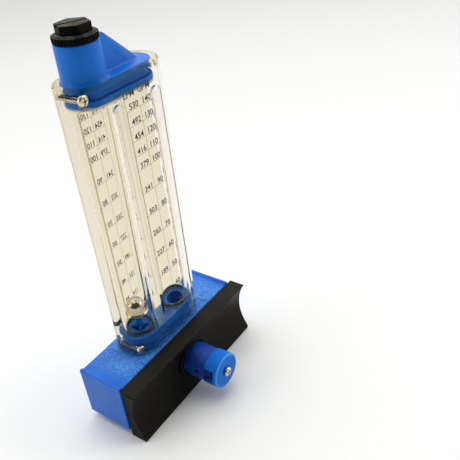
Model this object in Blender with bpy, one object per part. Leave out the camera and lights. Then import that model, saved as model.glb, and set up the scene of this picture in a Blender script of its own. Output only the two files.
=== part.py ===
"""Pitot-tube variable-area flow meter with a pipe saddle, in metres, +Z up.

The pipe would run along X, against the concave rubber saddle on the meter's -Y side. The pitot tube reaches
through the saddle along -Y, into the pipe. A clear body with a float stands on the base block, under a cap
with a vent plug. The origin is at the foot of the part, in the middle of its box.
"""

import math

import bmesh
import bpy

GAP = 0.0003                    # clearance between pieces that touch

# Base block, along X
METER_X = -0.0013               # middle of the block: the gasket is slid along it, towards +X
BLOCK_LENGTH = 0.100
BLOCK_DEPTH = 0.0286
BLOCK_FRONT = 0.0018            # Y of the face that the saddle gasket lies on
BLOCK_BOTTOM = 0.0043
BLOCK_TOP = 0.035
BLOCK_EDGE = 0.0006
LIP_RADIUS = 0.0013             # rounded lip along both ends, which keeps a clamp band from slipping off
LIP_OUT = 0.0002
LIP_DROP = 0.0003
BAND_SEAT = (0.0295, 0.0477)    # from the block's middle: a clamp band goes round the block here
BAND_SEAT_SINK = 0.0002

# Saddle gasket
SADDLE_LENGTH = 0.102
SADDLE_SLIDE = 0.0018
SADDLE_DEPTH = 0.0105
SADDLE_RADIUS = 0.0305          # fits a 2 inch pipe, whose outside radius is 30.15 mm
SADDLE_MIDDLE = 0.0185          # height of the pipe's axis
COLLAR_RADIUS = 0.0122
COLLAR_DEPTH = 0.0078
RIB_NOTCH = 0.0008              # small notch under the top rib's left end
RIB_NOTCH_DOWN = (0.0026, 0.0018)
RIB_NOTCH_BACK = 0.0025

# Pitot tube, whose lengths run outwards from the block's front face
PITOT_X = METER_X + 0.0015
PITOT_Z = 0.0174
TUBE_RADIUS = 0.0097
STEM_RADIUS = 0.0076
STEM_LENGTH = 0.017
NECK_RADIUS = 0.0079
NECK_END = 0.0245
TIP_RADIUS = 0.0102
TIP_START = 0.0211
TIP_END = 0.030
TIP_WALL = 0.0020
TIP_CAVITY_END = 0.0275
WINDOW_OUT = (-0.0010, 0.0064)          # square notch in the tip's side, outwards from its start
WINDOW_UP = (-0.0028, 0.0052)           # up from the tube's axis
WINDOW_INNER = 0.0055
SOCKET_DEPTH = 0.0195
IMPACT_PASSAGE = (-0.0034, -0.0015)     # X and Z from the tube's axis
STATIC_PASSAGE = (0.0030, 0.0018)
PASSAGE_RADIUS = 0.0018
IMPACT_OUTLET = 0.011                   # depth of the impact passage's side opening
STATIC_INLET = 0.0165
STATIC_INLET_RISE = 0.0015
STATIC_INLET_RADIUS = 0.0011
STATIC_CHAMBER = 0.0182                 # depth of the side opening of the chamber behind the stem
CROSSING_RADIUS = 0.0015                # passages along X in the block and the stem
PILOT_DEPTH = 0.007
TIP_SCREW_LENGTH = 0.0095

# Clear meter body: a plan with two round ends, around two bores
BODY_Y = BLOCK_FRONT + 0.0144
BODY_RADIUS = 0.014
BODY_PITCH = 0.014              # from the body's middle to each bore's axis
BODY_BOTTOM = BLOCK_TOP + GAP
BODY_TOP = 0.186
BODY_EDGE = 0.0012
PLUG_RADIUS = 0.0104
SOCKET_RADIUS = 0.0108
BASE_PLUG_TOP = 0.045
CAP_PLUG_BOTTOM = 0.1753
FLOAT_BORE_BOTTOM_RADIUS = 0.0078
FLOAT_BORE_TOP_RADIUS = 0.0087
RETURN_BORE_RADIUS = 0.0091
BORE_SEAT_RADII = (0.0084, 0.0098)      # float bore, return bore
BORE_SEAT_HEIGHT = 0.0020
PORT_RADIUS = 0.0030
PORT_MOUTH_RADII = (0.0030, 0.0056)     # the return bore's port is wide above the pitot tube's socket
PORT_MOUTH_BOTTOM = 0.028

# Sight grooves beside the printed scale, on the front and, turned half round, on the back
GROOVE_X = (-0.0102, 0.0149)
GROOVE_WIDTH = 0.0070
GROOVE_DEPTH = 0.0018
GROOVE_BOTTOM = 0.0425
GROOVE_TOP = 0.1750

# Cross screws that lock the plugs in the body
SCREW_X = 0.0236                # from the body's middle
CAP_SCREW_Z = 0.181
BASE_SCREW_Z = 0.0384
HEAD_RADIUS = 0.0027
HEAD_HEIGHT = 0.0019
SHANK_RADIUS = 0.0014
SHANK_LENGTH = 0.0135
RECESS_ARM = 0.0017
RECESS_HALF = 0.00042
HEAD_SINK = 0.0050              # from the body's front plane to the head's top
HEAD_CLEARANCE_RADIUS = 0.0032
LOCK_GROOVE_RADIUS = 0.0076
LOCK_GROOVE_HALF = 0.0018

# Seals
CAP_SEAL_MINOR = 0.0006
CAP_SEAL_PATH_RADIUS = 0.0097
CAP_REBATE_RADIUS = 0.0089              # rebate for the seal, round the bottom edge of the cap's plug
CAP_REBATE_HEIGHT = 0.0013
RING_MINOR = 0.00075
BORE_SEAL_PATH_RADII = (0.0075, 0.0088)
VENT_SEAL_PATH_RADIUS = 0.0073
TUBE_RING_MINOR = 0.0005
STEM_SEALS = (-0.0143, -0.0050)         # places along the pitot tube
STEM_SEAL_PATH_RADIUS = 0.0072
STEM_GROOVE_RADIUS = 0.0066
STEM_GROOVE_HALF = 0.0010
TIP_SEAL = 0.0225
TIP_SEAL_PATH_RADIUS = 0.00755
NECK_GROOVE_RADIUS = 0.0068
NECK_GROOVE_HALF = 0.0008

# Cap, its tower and its gusset
TOWER_X = METER_X - 0.0134
TOWER_TOP = 0.2026
TOWER_TOP_RADIUS = 0.0099
TOWER_BASE_RADIUS = 0.0101
POCKET_RADIUS = 0.0052
POCKET_TOP = 0.184
VENT_HOLE_RADIUS = 0.0025
THREAD_RADIUS = 0.0064
THREAD_BOTTOM = 0.190
VENT_SEAT_RADIUS = 0.0084
VENT_SEAT_DEPTH = 0.0019
# Gusset sections: X from the body's middle, half width at the foot and at the ridge, ridge height
GUSSET_FOOT = BODY_TOP - 0.0008
GUSSET_SECTIONS = ((-0.0094, 0.0046, 0.0012, TOWER_TOP - 0.0004), (0.0010, 0.0040, 0.0010, TOWER_TOP - 0.0004),
                   (0.0130, 0.0036, 0.0009, 0.1916), (0.0190, 0.0020, 0.0008, GUSSET_FOOT + 0.0012))

# Vent plug
FLANGE_HEIGHT = 0.0027
FLANGE_RADIUS = 0.0099
KNURL_DEPTH = 0.0004
KNURL_COUNT = 36
HEX_RADIUS = 0.0079
HEX_TOP = 0.210
HEX_TURN = math.radians(4)
SLOT_TURN = math.radians(-26)
SLOT_WIDTH = 0.0016
SLOT_DEPTH = 0.0014
PLUG_SHANK_RADIUS = 0.0060
PLUG_SHANK_LENGTH = 0.0090

# Float and its stops
FLOAT_BRIM_Z = 0.0563
FLOAT_BRIM_RADIUS = 0.0065
FLOAT_BALL_RADIUS = 0.0052
FLOAT_BALL_UP = 0.0036          # from the brim to the ball's middle
FLOAT_STEM_RADIUS = 0.0022
FLOAT_STEM_LENGTH = 0.0050
FLOAT_TRAVEL = 0.114
POST_RADIUS = 0.0020
FOOT_LENGTH = 0.0096
FOOT_WIDTH = 0.0012
FOOT_HEIGHT = 0.0015

BORE_X = (METER_X - BODY_PITCH, METER_X + BODY_PITCH)
HALF_TURN = math.pi
QUARTER_TURN = math.pi / 2


def clear_scene():
    for item in list(bpy.data.objects):
        bpy.data.objects.remove(item, do_unlink=True)


def make_material(name, color, roughness, metallic=0.0, alpha=1.0):
    material = bpy.data.materials.new(name)
    material.use_nodes = True
    shader = material.node_tree.nodes["Principled BSDF"]
    shader.inputs["Base Color"].default_value = (*color, 1.0)
    shader.inputs["Roughness"].default_value = roughness
    shader.inputs["Metallic"].default_value = metallic
    shader.inputs["Alpha"].default_value = alpha
    material.diffuse_color = (*color, alpha)
    return material


def add_object(name, mesh, material=None):
    """Turn a bmesh into an object with its sharp edges marked."""
    bmesh.ops.recalc_face_normals(mesh, faces=mesh.faces)
    data = bpy.data.meshes.new(name)
    mesh.to_mesh(data)
    mesh.free()
    data.shade_smooth()
    data.set_sharp_from_angle(angle=math.radians(35))
    thing = bpy.data.objects.new(name, data)
    bpy.context.collection.objects.link(thing)
    if material:
        data.materials.append(material)
    return thing


def combine(target, other, operation):
    """Add a Boolean step to the target, and make the other object a guide."""
    step = target.modifiers.new(other.name, "BOOLEAN")
    step.object = other
    step.operation = operation
    step.solver = "EXACT"
    other.hide_render = True
    other.display_type = "WIRE"


def join(target, *others):
    for other in others:
        combine(target, other, "UNION")


def cut(target, *others):
    for other in others:
        combine(target, other, "DIFFERENCE")


def ring_points(radius, pitch, steps):
    """Points of a circle, or of two half circles a pitch either side of the middle, anticlockwise."""
    half = steps // 2
    points = []
    for side in (1, -1):
        for index in range(half + (1 if pitch else 0)):
            angle = math.pi * (index / half - 0.5)
            across = pitch + radius * math.cos(angle)
            points.append((side * across, side * radius * math.sin(angle)))
    return points


def swept(profile, pitch=0.0, steps=32, ring=False):
    """Sweep (radius, height) points around a circle or a two-ended plan, as a capped solid or a closed ring."""
    mesh = bmesh.new()
    rows = []
    for radius, height in profile:
        rows.append([mesh.verts.new((x, y, height)) for x, y in ring_points(radius, pitch, steps)])
    pairs = list(zip(rows, rows[1:]))
    if ring:
        pairs.append((rows[-1], rows[0]))
    for low, high in pairs:
        for index in range(len(low)):
            after = (index + 1) % len(low)
            mesh.faces.new((low[index], low[after], high[after], high[index]))
    if not ring:
        mesh.faces.new(rows[0])
        mesh.faces.new(rows[-1])
    return mesh


def cylinder(radius, low, high, pitch=0.0, steps=24):
    return swept([(radius, low), (radius, high)], pitch, steps)


def round_section(path_radius, minor, height=0.0, sides=6):
    """Profile of a round ring: a small circle at the path's radius."""
    points = []
    for index in range(sides):
        angle = 2 * math.pi * (index + 0.5) / sides
        points.append((path_radius + minor * math.cos(angle), height + minor * math.sin(angle)))
    return points


def prism(outline, low, high):
    """Closed prism over an outline of (x, y) points."""
    mesh = bmesh.new()
    base = mesh.faces.new([mesh.verts.new((x, y, low)) for x, y in outline])
    grown = bmesh.ops.extrude_face_region(mesh, geom=[base])
    moved = [item for item in grown["geom"] if isinstance(item, bmesh.types.BMVert)]
    bmesh.ops.translate(mesh, verts=moved, vec=(0, 0, high - low))
    return mesh


def box(low, high):
    corners = [(low[0], low[1]), (high[0], low[1]), (high[0], high[1]), (low[0], high[1])]
    return prism(corners, low[2], high[2])


def bevel_all(mesh, width, segments=1):
    bmesh.ops.recalc_face_normals(mesh, faces=mesh.faces)
    bmesh.ops.bevel(mesh, geom=list(mesh.edges), offset=width, segments=segments, affect="EDGES", profile=0.5)
    return mesh


def along_x(thing, x, y, z):
    """Lay a piece made along Z down along +X."""
    thing.rotation_euler = (0, QUARTER_TURN, 0)
    thing.location = (x, y, z)
    return thing


def along_front(thing, x, y, z):
    """Lay a piece made along Z down along -Y, towards the pipe."""
    thing.rotation_euler = (QUARTER_TURN, 0, 0)
    thing.location = (x, y, z)
    return thing


def turned_half(thing):
    """Turn a piece half round the body's upright axis, from the front to the back."""
    x, y, z = thing.location
    thing.location = (2 * METER_X - x, 2 * BODY_Y - y, z)
    thing.rotation_euler.z += HALF_TURN
    return thing


def stand(thing, x, y=BODY_Y, z=0.0):
    thing.location = (x, y, z)
    return thing


def plug_profile(low, high, lock_z, rebate=0.0):
    """Profile of a plug with a groove for the cross screws and, if asked for, a rebate round its bottom edge."""
    points = [(PLUG_RADIUS, low)]
    if rebate:
        points = [(CAP_REBATE_RADIUS, low), (CAP_REBATE_RADIUS, low + rebate), (PLUG_RADIUS, low + rebate)]
    points += [(PLUG_RADIUS, lock_z - LOCK_GROOVE_HALF), (LOCK_GROOVE_RADIUS, lock_z - LOCK_GROOVE_HALF)]
    points += [(LOCK_GROOVE_RADIUS, lock_z + LOCK_GROOVE_HALF), (PLUG_RADIUS, lock_z + LOCK_GROOVE_HALF)]
    points.append((PLUG_RADIUS, high))
    return points


def make_base_block(material):
    """Block with a band seat at each end, a lip beyond each seat, and an oval plug that holds the body."""
    low = (METER_X - BLOCK_LENGTH / 2, BLOCK_FRONT, BLOCK_BOTTOM)
    high = (METER_X + BLOCK_LENGTH / 2, BLOCK_FRONT + BLOCK_DEPTH, BLOCK_TOP)
    block = add_object("base_block", bevel_all(box(low, high), BLOCK_EDGE, 2), material)
    for side in (-1, 1):
        near, far = sorted(METER_X + side * reach for reach in BAND_SEAT)
        seat = box((near, low[1] - 0.001, BLOCK_TOP - BAND_SEAT_SINK), (far, high[1] + 0.001, BLOCK_TOP + 0.001))
        cut(block, add_object("cut_band_seat", seat))
        lip = add_object("guide_lip", cylinder(LIP_RADIUS, -BLOCK_DEPTH + BLOCK_EDGE, -BLOCK_EDGE, steps=16))
        lip_x = METER_X + side * (BLOCK_LENGTH / 2 + LIP_OUT - LIP_RADIUS)
        join(block, along_front(lip, lip_x, BLOCK_FRONT, BLOCK_TOP - LIP_DROP))
    profile = plug_profile(BLOCK_TOP - 0.002, BASE_PLUG_TOP, BASE_SCREW_Z)
    join(block, stand(add_object("guide_base_plug", swept(profile, BODY_PITCH, 32)), METER_X))
    socket = add_object("cut_pitot_socket", cylinder(STEM_RADIUS + GAP, -SOCKET_DEPTH, 0.003))
    cut(block, along_front(socket, PITOT_X, BLOCK_FRONT, PITOT_Z))
    socket_reach = STEM_RADIUS * 0.6
    crossings = ((-1, IMPACT_OUTLET, IMPACT_PASSAGE[1]), (1, STATIC_CHAMBER, 0.0))
    for bore_x, mouth, (side, depth, rise) in zip(BORE_X, PORT_MOUTH_RADII, crossings):
        profile = [(PORT_RADIUS, PITOT_Z - PORT_RADIUS), (PORT_RADIUS, PORT_MOUTH_BOTTOM)]
        profile += [(mouth, PORT_MOUTH_BOTTOM + 0.0001), (mouth, BASE_PLUG_TOP + 0.002)]
        port = add_object("cut_port", swept(profile, steps=24))
        reach = abs(bore_x - PITOT_X)
        crossing = add_object("cut_crossing", cylinder(CROSSING_RADIUS, socket_reach, reach, steps=12))
        along_x(crossing, PITOT_X, BLOCK_FRONT + depth, PITOT_Z + rise)
        if side < 0:
            crossing.rotation_euler.y = -QUARTER_TURN
        cut(block, stand(port, bore_x), crossing)
    return block


def make_saddle(material):
    """Rubber saddle: a concave bar along X, with a collar and a hole for the pitot tube."""
    back = BLOCK_FRONT - GAP
    front = BLOCK_FRONT - SADDLE_DEPTH
    half_chord = BLOCK_TOP - SADDLE_MIDDLE
    centre_y = front - math.sqrt(SADDLE_RADIUS ** 2 - half_chord ** 2)
    swing = math.asin(half_chord / SADDLE_RADIUS)
    outline = [(back, 0.0), (back, BLOCK_TOP)]
    for index in range(17):
        angle = swing * (1 - index / 8)
        outline.append((centre_y + SADDLE_RADIUS * math.cos(angle), SADDLE_MIDDLE + SADDLE_RADIUS * math.sin(angle)))
    outline.append((front, 0.0))
    outline = [(-z, y) for y, z in outline]
    middle = METER_X + SADDLE_SLIDE
    bar = add_object("saddle_gasket", prism(outline, -SADDLE_LENGTH / 2, SADDLE_LENGTH / 2), material)
    along_x(bar, middle, 0, 0)
    collar = add_object("guide_collar", cylinder(COLLAR_RADIUS, 0.001, COLLAR_DEPTH, steps=32))
    join(bar, along_front(collar, PITOT_X, BLOCK_FRONT, PITOT_Z))
    hole = add_object("cut_saddle_hole", cylinder(TUBE_RADIUS + GAP, -0.002, SADDLE_DEPTH + 0.002, steps=32))
    end_x = middle - SADDLE_LENGTH / 2
    notch_low = (end_x - 0.001, front - 0.001, BLOCK_TOP - RIB_NOTCH_DOWN[0])
    notch_high = (end_x + RIB_NOTCH, back - RIB_NOTCH_BACK, BLOCK_TOP - RIB_NOTCH_DOWN[1])
    notch = add_object("cut_rib_notch", box(notch_low, notch_high))
    cut(bar, along_front(hole, PITOT_X, BLOCK_FRONT, PITOT_Z), notch)
    return bar


def make_pitot_tube(material):
    """Tube with a stem in the block, a neck under the tip, and two separate passages."""
    profile = [(STEM_RADIUS - 0.0005, -STEM_LENGTH), (STEM_RADIUS, -STEM_LENGTH + 0.0005)]
    for middle in STEM_SEALS:
        low, high = middle - STEM_GROOVE_HALF, middle + STEM_GROOVE_HALF
        profile += [(STEM_RADIUS, low), (STEM_GROOVE_RADIUS, low), (STEM_GROOVE_RADIUS, high), (STEM_RADIUS, high)]
    profile += [(STEM_RADIUS, GAP), (TUBE_RADIUS, GAP), (TUBE_RADIUS, TIP_START - GAP)]
    low, high = TIP_SEAL - NECK_GROOVE_HALF, TIP_SEAL + NECK_GROOVE_HALF
    profile += [(NECK_RADIUS, TIP_START - GAP), (NECK_RADIUS, low), (NECK_GROOVE_RADIUS, low)]
    profile += [(NECK_GROOVE_RADIUS, high), (NECK_RADIUS, high), (NECK_RADIUS, NECK_END)]
    tube = add_object("pitot_tube", swept(profile, steps=32), material)
    along_front(tube, PITOT_X, BLOCK_FRONT, PITOT_Z)
    passages = ((IMPACT_PASSAGE, -IMPACT_OUTLET - CROSSING_RADIUS, NECK_END + 0.001),
                (STATIC_PASSAGE, -STEM_LENGTH - 0.001, STATIC_INLET + CROSSING_RADIUS))
    for (x, z), low, high in passages:
        passage = add_object("cut_passage", cylinder(PASSAGE_RADIUS, low, high, steps=12))
        cut(tube, along_front(passage, PITOT_X + x, BLOCK_FRONT, PITOT_Z + z))
    sides = ((IMPACT_PASSAGE[0], -IMPACT_OUTLET, IMPACT_PASSAGE[1], CROSSING_RADIUS),
             (STATIC_PASSAGE[0], STATIC_INLET, STATIC_INLET_RISE, STATIC_INLET_RADIUS))
    for x, out, rise, radius in sides:
        side = add_object("cut_side_port", cylinder(radius, -x, TUBE_RADIUS + 0.001, steps=12))
        along_x(side, PITOT_X, BLOCK_FRONT - out, PITOT_Z + rise)
        side.rotation_euler.y = -QUARTER_TURN
        cut(tube, side)
    pilot = add_object("cut_pilot", cylinder(SHANK_RADIUS + GAP, NECK_END - PILOT_DEPTH, NECK_END + 0.001, steps=12))
    cut(tube, along_front(pilot, PITOT_X, BLOCK_FRONT, PITOT_Z))
    return tube


def make_pitot_tip(material):
    """Turnable cap over the tube's neck, with a square notch to its cavity."""
    inner = TIP_RADIUS - TIP_WALL
    profile = [(SHANK_RADIUS + GAP, TIP_END), (TIP_RADIUS - 0.0005, TIP_END), (TIP_RADIUS, TIP_END - 0.0005)]
    profile += [(TIP_RADIUS, TIP_START), (inner, TIP_START), (inner, TIP_CAVITY_END)]
    profile += [(SHANK_RADIUS + GAP, TIP_CAVITY_END)]
    tip = add_object("pitot_tip", swept(profile, steps=32, ring=True), material)
    along_front(tip, PITOT_X, BLOCK_FRONT, PITOT_Z)
    out = BLOCK_FRONT - TIP_START
    low = (PITOT_X - TIP_RADIUS - 0.001, out - WINDOW_OUT[1], PITOT_Z + WINDOW_UP[0])
    high = (PITOT_X - WINDOW_INNER, out - WINDOW_OUT[0], PITOT_Z + WINDOW_UP[1])
    cut(tip, add_object("cut_tip_window", box(low, high)))
    return tip


def make_screw(name, material, shank_length):
    """Pan-head screw with a cross recess. The head's underside is at the origin and the head points to +Z."""
    profile = [(SHANK_RADIUS * 0.5, -shank_length), (SHANK_RADIUS, -shank_length + 0.0008)]
    profile += [(SHANK_RADIUS, 0.0), (HEAD_RADIUS, 0.0), (HEAD_RADIUS, HEAD_HEIGHT * 0.45)]
    for angle in (35, 60):
        turn = math.radians(angle)
        rise = HEAD_HEIGHT * (0.45 + 0.5 * math.sin(turn))
        profile.append((HEAD_RADIUS * math.cos(turn) ** 0.6, rise))
    screw = add_object(name, swept(profile, steps=16), material)
    half = RECESS_HALF
    plus = []
    for quarter in range(4):
        turn = quarter * QUARTER_TURN
        for x, y in ((half, half), (half, RECESS_ARM), (-half, RECESS_ARM)):
            plus.append((x * math.cos(turn) - y * math.sin(turn), x * math.sin(turn) + y * math.cos(turn)))
    recess = add_object("cut_recess", prism(plus, HEAD_HEIGHT * 0.35, HEAD_HEIGHT * 1.5))
    recess.parent = screw
    cut(screw, recess)
    return screw


def screw_cutter():
    """Clearance for a cross screw: a head bore and a shank hole, made like the screw itself."""
    profile = [(SHANK_RADIUS + GAP, -SHANK_LENGTH - GAP), (SHANK_RADIUS + GAP, -GAP)]
    profile += [(HEAD_CLEARANCE_RADIUS, -GAP), (HEAD_CLEARANCE_RADIUS, 0.020)]
    return add_object("cut_screw", swept(profile, steps=16))


def make_cross_screws(body, material):
    """Two screws through each end of the body, one from the front and one from the back."""
    underside = BODY_Y - BODY_RADIUS + HEAD_SINK + HEAD_HEIGHT
    for end, height in (("cap", CAP_SCREW_Z), ("base", BASE_SCREW_Z)):
        for side in ("front", "back"):
            screw = make_screw(f"{end}_screw_{side}", material, SHANK_LENGTH)
            clearance = screw_cutter()
            for piece in (screw, clearance):
                along_front(piece, METER_X - SCREW_X, underside, height)
                if side == "back":
                    turned_half(piece)
            cut(body, clearance)


def make_body(material):
    edge = BODY_EDGE
    profile = [(BODY_RADIUS - edge / 2, BODY_BOTTOM), (BODY_RADIUS, BODY_BOTTOM + edge / 2)]
    profile += [(BODY_RADIUS, BODY_TOP - edge), (BODY_RADIUS - edge * 0.3, BODY_TOP - edge * 0.3)]
    profile += [(BODY_RADIUS - edge, BODY_TOP)]
    body = stand(add_object("meter_body", swept(profile, BODY_PITCH, 40), material), METER_X)
    roof = BASE_PLUG_TOP + GAP
    floor = CAP_PLUG_BOTTOM - GAP
    for low, high in ((BODY_BOTTOM - 0.002, roof), (floor, BODY_TOP + 0.002)):
        cut(body, stand(add_object("cut_socket", cylinder(SOCKET_RADIUS, low, high, BODY_PITCH, 32)), METER_X))
    tops = (FLOAT_BORE_TOP_RADIUS, RETURN_BORE_RADIUS)
    bottoms = (FLOAT_BORE_BOTTOM_RADIUS, RETURN_BORE_RADIUS)
    for bore_x, top, bottom, seat_radius in zip(BORE_X, tops, bottoms, BORE_SEAT_RADII):
        bore = add_object("cut_bore", swept([(bottom, roof - 0.001), (top, floor + 0.001)], steps=32))
        seat = add_object("cut_bore_seat", cylinder(seat_radius, roof - 0.0005, roof + BORE_SEAT_HEIGHT))
        cut(body, stand(bore, bore_x), stand(seat, bore_x))
    middle = (GROOVE_BOTTOM + GROOVE_TOP) / 2
    half = (GROOVE_TOP - GROOVE_BOTTOM - GROOVE_WIDTH) / 2
    face = BODY_Y - BODY_RADIUS
    for groove_x in GROOVE_X:
        for turned in (False, True):
            groove = add_object("cut_groove", cylinder(GROOVE_WIDTH / 2, -GROOVE_DEPTH, 0.003, half, 16))
            along_front(groove, METER_X + groove_x, face, middle)
            groove.rotation_euler = (QUARTER_TURN, QUARTER_TURN, 0)
            if turned:
                turned_half(groove)
            cut(body, groove)
    return body


def make_gusset():
    """Rib with sloping sides that runs from the tower's top down to the far end of the cap."""
    mesh = bmesh.new()
    for x, foot_half, ridge_half, ridge_z in GUSSET_SECTIONS:
        for side in (-1, 1):
            mesh.verts.new((x, side * foot_half, GUSSET_FOOT))
            mesh.verts.new((x, side * ridge_half, ridge_z))
    bmesh.ops.convex_hull(mesh, input=list(mesh.verts))
    loose = [vert for vert in mesh.verts if not vert.link_faces]
    bmesh.ops.delete(mesh, geom=loose, context="VERTS")
    bmesh.ops.dissolve_limit(mesh, angle_limit=math.radians(1), verts=mesh.verts, edges=mesh.edges)
    return stand(add_object("guide_gusset", mesh), METER_X)


def make_cap(material):
    """Cap: a plug in the body's top, with a tower over the float bore and a gusset down to the other end."""
    profile = plug_profile(CAP_PLUG_BOTTOM, BODY_TOP, CAP_SCREW_Z, CAP_REBATE_HEIGHT)
    cap = stand(add_object("top_cap", swept(profile, BODY_PITCH, 32), material), METER_X)
    tower_profile = [(TOWER_BASE_RADIUS, BODY_TOP - 0.001), (TOWER_BASE_RADIUS, BODY_TOP + 0.001)]
    tower_profile += [(TOWER_TOP_RADIUS, TOWER_TOP - 0.0003), (TOWER_TOP_RADIUS - 0.0003, TOWER_TOP)]
    tower = add_object("guide_tower", swept(tower_profile, steps=36))
    join(cap, stand(tower, TOWER_X), make_gusset())
    pocket = cylinder(POCKET_RADIUS, CAP_PLUG_BOTTOM - 0.002, POCKET_TOP, BODY_PITCH, 24)
    cut(cap, stand(add_object("cut_pocket", pocket), METER_X))
    bores = ((VENT_HOLE_RADIUS, POCKET_TOP - 0.001, THREAD_BOTTOM + 0.001),
             (THREAD_RADIUS, THREAD_BOTTOM, TOWER_TOP + 0.002),
             (VENT_SEAT_RADIUS, TOWER_TOP - VENT_SEAT_DEPTH, TOWER_TOP + 0.002))
    for radius, low, high in bores:
        cut(cap, stand(add_object("cut_vent", cylinder(radius, low, high)), TOWER_X))
    return cap


def make_vent_plug(material):
    """Plug with a knurled flange, a slotted hexagon head and a threaded shank. Its origin is on its axis."""
    low = TOWER_TOP + GAP
    outline = []
    for index in range(2 * KNURL_COUNT):
        angle = math.pi * index / KNURL_COUNT
        radius = FLANGE_RADIUS - (KNURL_DEPTH if index % 2 else 0.0)
        outline.append((radius * math.cos(angle), radius * math.sin(angle)))
    plug = add_object("vent_plug", prism(outline, low, low + FLANGE_HEIGHT), material)
    hexagon = [(HEX_RADIUS * math.cos(HEX_TURN + side * math.pi / 3),
                HEX_RADIUS * math.sin(HEX_TURN + side * math.pi / 3)) for side in range(6)]
    head = add_object("guide_hexagon", prism(hexagon, low + FLANGE_HEIGHT / 2, HEX_TOP))
    shank_profile = [(PLUG_SHANK_RADIUS - 0.0006, low - PLUG_SHANK_LENGTH)]
    shank_profile += [(PLUG_SHANK_RADIUS, low - PLUG_SHANK_LENGTH + 0.0006), (PLUG_SHANK_RADIUS, low + 0.001)]
    shank = add_object("guide_shank", swept(shank_profile, steps=24))
    slot = add_object("cut_slot", box((-0.01, -SLOT_WIDTH / 2, HEX_TOP - SLOT_DEPTH),
                                      (0.01, SLOT_WIDTH / 2, HEX_TOP + 0.001)))
    slot.rotation_euler.z = SLOT_TURN
    for piece in (head, shank, slot):
        piece.parent = plug
    join(plug, head, shank)
    cut(plug, slot)
    return stand(plug, TOWER_X)


def make_float(material):
    """Bell-shaped float: a ball on a flared brim, with a short stem under it. Its origin is at the brim."""
    stem_bottom = -FLOAT_STEM_LENGTH
    profile = [(FLOAT_STEM_RADIUS * 0.7, stem_bottom), (FLOAT_STEM_RADIUS, stem_bottom + 0.0006)]
    profile += [(FLOAT_STEM_RADIUS, -0.0004), (FLOAT_BRIM_RADIUS - 0.0008, 0.0), (FLOAT_BRIM_RADIUS, 0.0005)]
    profile += [(FLOAT_BRIM_RADIUS - 0.0006, 0.0011), (FLOAT_BALL_RADIUS + 0.0005, 0.0020)]
    for index in range(7):
        angle = math.radians(-10 + index * 90 / 6.5)
        profile.append((FLOAT_BALL_RADIUS * math.cos(angle), FLOAT_BALL_UP + FLOAT_BALL_RADIUS * math.sin(angle)))
    bell = add_object("float", swept(profile, steps=24), material)
    return stand(bell, BORE_X[0], BODY_Y, FLOAT_BRIM_Z)


def make_stop(name, material, foot_z, tip_z):
    """Post on a cross-shaped foot that lets the water past. It stands up, or hangs if its tip is below."""
    height = abs(tip_z - foot_z)
    profile = [(POST_RADIUS, 0.0), (POST_RADIUS, height - 0.0005), (POST_RADIUS - 0.0005, height)]
    stop = add_object(name, swept(profile, steps=20), material)
    for turn in (math.radians(45), math.radians(135)):
        blade = add_object("guide_blade", box((-FOOT_LENGTH / 2, -FOOT_WIDTH / 2, 0.0),
                                              (FOOT_LENGTH / 2, FOOT_WIDTH / 2, FOOT_HEIGHT)))
        blade.rotation_euler.z = turn
        blade.parent = stop
        join(stop, blade)
    if tip_z < foot_z:
        stop.rotation_euler.x = HALF_TURN
    return stand(stop, BORE_X[0], BODY_Y, foot_z)


def make_seals(rubber, clear_rubber, pale_rubber):
    """Ring seals: under the cap's plug, under the two bores, on the pitot tube and under the vent plug."""
    section = round_section(CAP_SEAL_PATH_RADIUS, CAP_SEAL_MINOR, CAP_PLUG_BOTTOM + CAP_SEAL_MINOR)
    stand(add_object("cap_seal", swept(section, BODY_PITCH, 24, ring=True), clear_rubber), METER_X)
    seat_middle = BASE_PLUG_TOP + GAP + BORE_SEAT_HEIGHT / 2
    names = ("bore_seal_left", "bore_seal_right")
    for name, bore_x, path_radius in zip(names, BORE_X, BORE_SEAL_PATH_RADII):
        section = round_section(path_radius, RING_MINOR, seat_middle)
        stand(add_object(name, swept(section, steps=24, ring=True), rubber), bore_x)
    rings = (("pitot_seal_inner", STEM_SEALS[0], STEM_SEAL_PATH_RADIUS),
             ("pitot_seal_outer", STEM_SEALS[1], STEM_SEAL_PATH_RADIUS),
             ("pitot_tip_seal", TIP_SEAL, TIP_SEAL_PATH_RADIUS))
    for name, out, path_radius in rings:
        section = round_section(path_radius, TUBE_RING_MINOR, out)
        along_front(add_object(name, swept(section, steps=24, ring=True), rubber), PITOT_X, BLOCK_FRONT, PITOT_Z)
    section = round_section(VENT_SEAL_PATH_RADIUS, RING_MINOR, TOWER_TOP - RING_MINOR)
    stand(add_object("vent_plug_seal", swept(section, steps=24, ring=True), pale_rubber), TOWER_X)


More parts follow.
